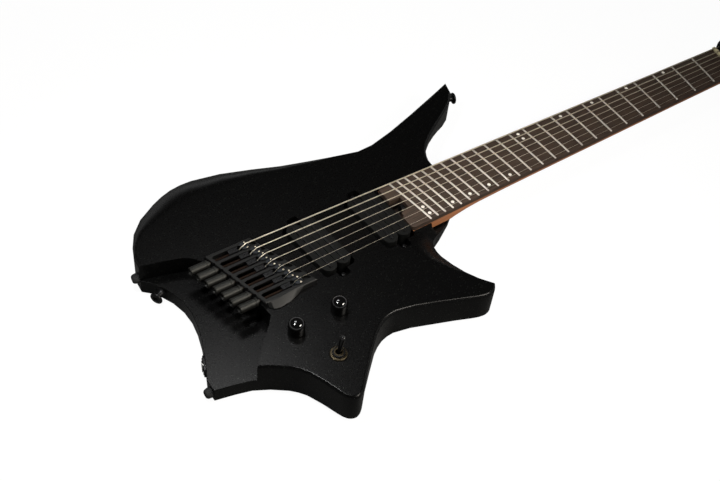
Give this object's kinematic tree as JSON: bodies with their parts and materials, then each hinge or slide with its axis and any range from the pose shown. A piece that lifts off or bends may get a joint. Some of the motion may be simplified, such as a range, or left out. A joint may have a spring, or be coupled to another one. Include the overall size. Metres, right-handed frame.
{
  "type": "headless electric guitar",
  "caption": "Solid-body electric guitar without a headstock, with fanned frets, a bolt-on neck, blade pickups and tuning barrels at the tail of an open bridge",
  "frame": {"origin": "on the flat back, under the fretboard's centreline at the bass scale's bridge line", "axes": "+X along the neck towards the head, +Y towards the bass side, +Z from the flat back towards the strings"},
  "size_m": [0.8251, 0.3312, 0.0624],
  "materials": {
    "body_finish": "satin black lacquer with a fine metallic fleck",
    "maple": "satin oiled maple",
    "board": "dark open-pored rosewood with bright frets",
    "bone": "smooth cream nut",
    "string_steel": "bright nickel-wound and plain steel",
    "chassis_metal": "dark bead-blasted anodised",
    "saddle_metal": "dark satin",
    "tuner_metal": "dark grey anodised, knurled",
    "pickup_plastic": "matte dark grey",
    "pickup_metal": "blackened steel",
    "gloss_black": "high gloss",
    "ring_brass": "antique",
    "black_metal": "satin black",
    "lever_plastic": "satin black",
    "steel": "satin",
    "black_plastic": "matte black",
    "bumper": "matte"
  },
  "bodies": {
    "guitar": {"body": "body_finish", "control_cover": "black_plastic", "neck": "maple", "fretboard": "board", "nut": "bone", "string_lock": "black_metal", "truss_rod": "steel", "bridge_chassis": "chassis_metal", "bridge_pickup_frame": "pickup_metal", "bridge_pickup_bobbin_1": "pickup_plastic", "bridge_pickup_bobbin_2": "pickup_plastic", "neck_pickup_frame": "pickup_metal", "neck_pickup_bobbin_1": "pickup_plastic", "neck_pickup_bobbin_2": "pickup_plastic", "volume_pot": "steel", "tone_pot": "steel", "switch_body": "steel", "switch_bushing": "ring_brass", "output_jack": "steel", "jack_plate": "black_metal", "strap_button_tail": "black_metal", "strap_button_horn": "black_metal", "foot_bass": "bumper", "foot_treble": "bumper", "neck_bolt_1": "steel", "neck_bolt_2": "steel", "neck_bolt_3": "steel", "neck_bolt_4": "steel"},
    "saddle_slide_1": {"saddle_1": "saddle_metal"},
    "string_carriage_1": {"carriage_1": "saddle_metal", "string_1": "string_steel"},
    "tuner_barrel_1": {"tuner_1": "tuner_metal"},
    "saddle_slide_2": {"saddle_2": "saddle_metal"},
    "string_carriage_2": {"carriage_2": "saddle_metal", "string_2": "string_steel"},
    "tuner_barrel_2": {"tuner_2": "tuner_metal"},
    "saddle_slide_3": {"saddle_3": "saddle_metal"},
    "string_carriage_3": {"carriage_3": "saddle_metal", "string_3": "string_steel"},
    "tuner_barrel_3": {"tuner_3": "tuner_metal"},
    "saddle_slide_4": {"saddle_4": "saddle_metal"},
    "string_carriage_4": {"carriage_4": "saddle_metal", "string_4": "string_steel"},
    "tuner_barrel_4": {"tuner_4": "tuner_metal"},
    "saddle_slide_5": {"saddle_5": "saddle_metal"},
    "string_carriage_5": {"carriage_5": "saddle_metal", "string_5": "string_steel"},
    "tuner_barrel_5": {"tuner_5": "tuner_metal"},
    "saddle_slide_6": {"saddle_6": "saddle_metal"},
    "string_carriage_6": {"carriage_6": "saddle_metal", "string_6": "string_steel"},
    "tuner_barrel_6": {"tuner_6": "tuner_metal"},
    "saddle_slide_7": {"saddle_7": "saddle_metal"},
    "string_carriage_7": {"carriage_7": "saddle_metal", "string_7": "string_steel"},
    "tuner_barrel_7": {"tuner_7": "tuner_metal"},
    "volume_knob": {"volume_knob": "gloss_black"},
    "tone_knob": {"tone_knob": "gloss_black"},
    "switch_lever": {"switch_lever": "lever_plastic"},
    "truss_wheel": {"truss_wheel": "steel"}
  },
  "joints": [
    {"name": "tuner_1_turn", "type": "hinge", "parent": "guitar", "child": "tuner_barrel_1", "pos_m": [-0.03829, -0.033, 0.0452], "axis": [1, 0, 0], "range_deg": [-540, 2190]},
    {"name": "carriage_1_travel", "type": "slide", "parent": "guitar", "child": "string_carriage_1", "axis": [-1, 0, 0], "range_m": [-0.001, 0.0042]},
    {"name": "saddle_1_travel", "type": "slide", "parent": "guitar", "child": "saddle_slide_1", "axis": [1, 0, 0], "range_m": [0, 0.0025]},
    {"name": "tuner_2_turn", "type": "hinge", "parent": "guitar", "child": "tuner_barrel_2", "pos_m": [-0.04136, -0.022, 0.0452], "axis": [1, 0, 0], "range_deg": [-540, 2190]},
    {"name": "carriage_2_travel", "type": "slide", "parent": "guitar", "child": "string_carriage_2", "axis": [-1, 0, 0], "range_m": [-0.001, 0.0042]},
    {"name": "saddle_2_travel", "type": "slide", "parent": "guitar", "child": "saddle_slide_2", "axis": [1, 0, 0], "range_m": [0, 0.0025]},
    {"name": "tuner_3_turn", "type": "hinge", "parent": "guitar", "child": "tuner_barrel_3", "pos_m": [-0.04443, -0.011, 0.0452], "axis": [1, 0, 0], "range_deg": [-540, 2190]},
    {"name": "carriage_3_travel", "type": "slide", "parent": "guitar", "child": "string_carriage_3", "axis": [-1, 0, 0], "range_m": [-0.001, 0.0042]},
    {"name": "saddle_3_travel", "type": "slide", "parent": "guitar", "child": "saddle_slide_3", "axis": [1, 0, 0], "range_m": [0, 0.0025]},
    {"name": "tuner_4_turn", "type": "hinge", "parent": "guitar", "child": "tuner_barrel_4", "pos_m": [-0.0475, 0, 0.0452], "axis": [1, 0, 0], "range_deg": [-540, 2190]},
    {"name": "carriage_4_travel", "type": "slide", "parent": "guitar", "child": "string_carriage_4", "axis": [-1, 0, 0], "range_m": [-0.001, 0.0042]},
    {"name": "saddle_4_travel", "type": "slide", "parent": "guitar", "child": "saddle_slide_4", "axis": [1, 0, 0], "range_m": [0, 0.0025]},
    {"name": "tuner_5_turn", "type": "hinge", "parent": "guitar", "child": "tuner_barrel_5", "pos_m": [-0.05057, 0.011, 0.0452], "axis": [1, 0, 0], "range_deg": [-540, 2190]},
    {"name": "carriage_5_travel", "type": "slide", "parent": "guitar", "child": "string_carriage_5", "axis": [-1, 0, 0], "range_m": [-0.001, 0.0042]},
    {"name": "saddle_5_travel", "type": "slide", "parent": "guitar", "child": "saddle_slide_5", "axis": [1, 0, 0], "range_m": [0, 0.0025]},
    {"name": "tuner_6_turn", "type": "hinge", "parent": "guitar", "child": "tuner_barrel_6", "pos_m": [-0.05364, 0.022, 0.0452], "axis": [1, 0, 0], "range_deg": [-540, 2190]},
    {"name": "carriage_6_travel", "type": "slide", "parent": "guitar", "child": "string_carriage_6", "axis": [-1, 0, 0], "range_m": [-0.001, 0.0042]},
    {"name": "saddle_6_travel", "type": "slide", "parent": "guitar", "child": "saddle_slide_6", "axis": [1, 0, 0], "range_m": [0, 0.0025]},
    {"name": "tuner_7_turn", "type": "hinge", "parent": "guitar", "child": "tuner_barrel_7", "pos_m": [-0.05671, 0.033, 0.0452], "axis": [1, 0, 0], "range_deg": [-540, 2190]},
    {"name": "carriage_7_travel", "type": "slide", "parent": "guitar", "child": "string_carriage_7", "axis": [-1, 0, 0], "range_m": [-0.001, 0.0042]},
    {"name": "saddle_7_travel", "type": "slide", "parent": "guitar", "child": "saddle_slide_7", "axis": [1, 0, 0], "range_m": [0, 0.0025]},
    {"name": "volume_turn", "type": "hinge", "parent": "guitar", "child": "volume_knob", "pos_m": [-0.0231, -0.08139, 0.0428], "axis": [0, 0, 1], "range_deg": [0, 300]},
    {"name": "tone_turn", "type": "hinge", "parent": "guitar", "child": "tone_knob", "pos_m": [0.02698, -0.0805, 0.0428], "axis": [0, 0, 1], "range_deg": [0, 300]},
    {"name": "switch_tilt", "type": "hinge", "parent": "guitar", "child": "switch_lever", "pos_m": [-0.00232, -0.12469, 0.0432], "axis": [-0.4787, 0.878, 0], "range_deg": [-44, 0]},
    {"name": "truss_wheel_turn", "type": "hinge", "parent": "guitar", "child": "truss_wheel", "pos_m": [0.16239, 0, 0.0392], "axis": [1, 0, 0], "range_deg": [-180, 180]}
  ],
  "couplings": [
    {"joint": "tuner_1_turn", "follows": "carriage_1_travel", "rad_per_m": 8976},
    {"joint": "tuner_2_turn", "follows": "carriage_2_travel", "rad_per_m": 8976},
    {"joint": "tuner_3_turn", "follows": "carriage_3_travel", "rad_per_m": 8976},
    {"joint": "tuner_4_turn", "follows": "carriage_4_travel", "rad_per_m": 8976},
    {"joint": "tuner_5_turn", "follows": "carriage_5_travel", "rad_per_m": 8976},
    {"joint": "tuner_6_turn", "follows": "carriage_6_travel", "rad_per_m": 8976},
    {"joint": "tuner_7_turn", "follows": "carriage_7_travel", "rad_per_m": 8976}
  ]
}
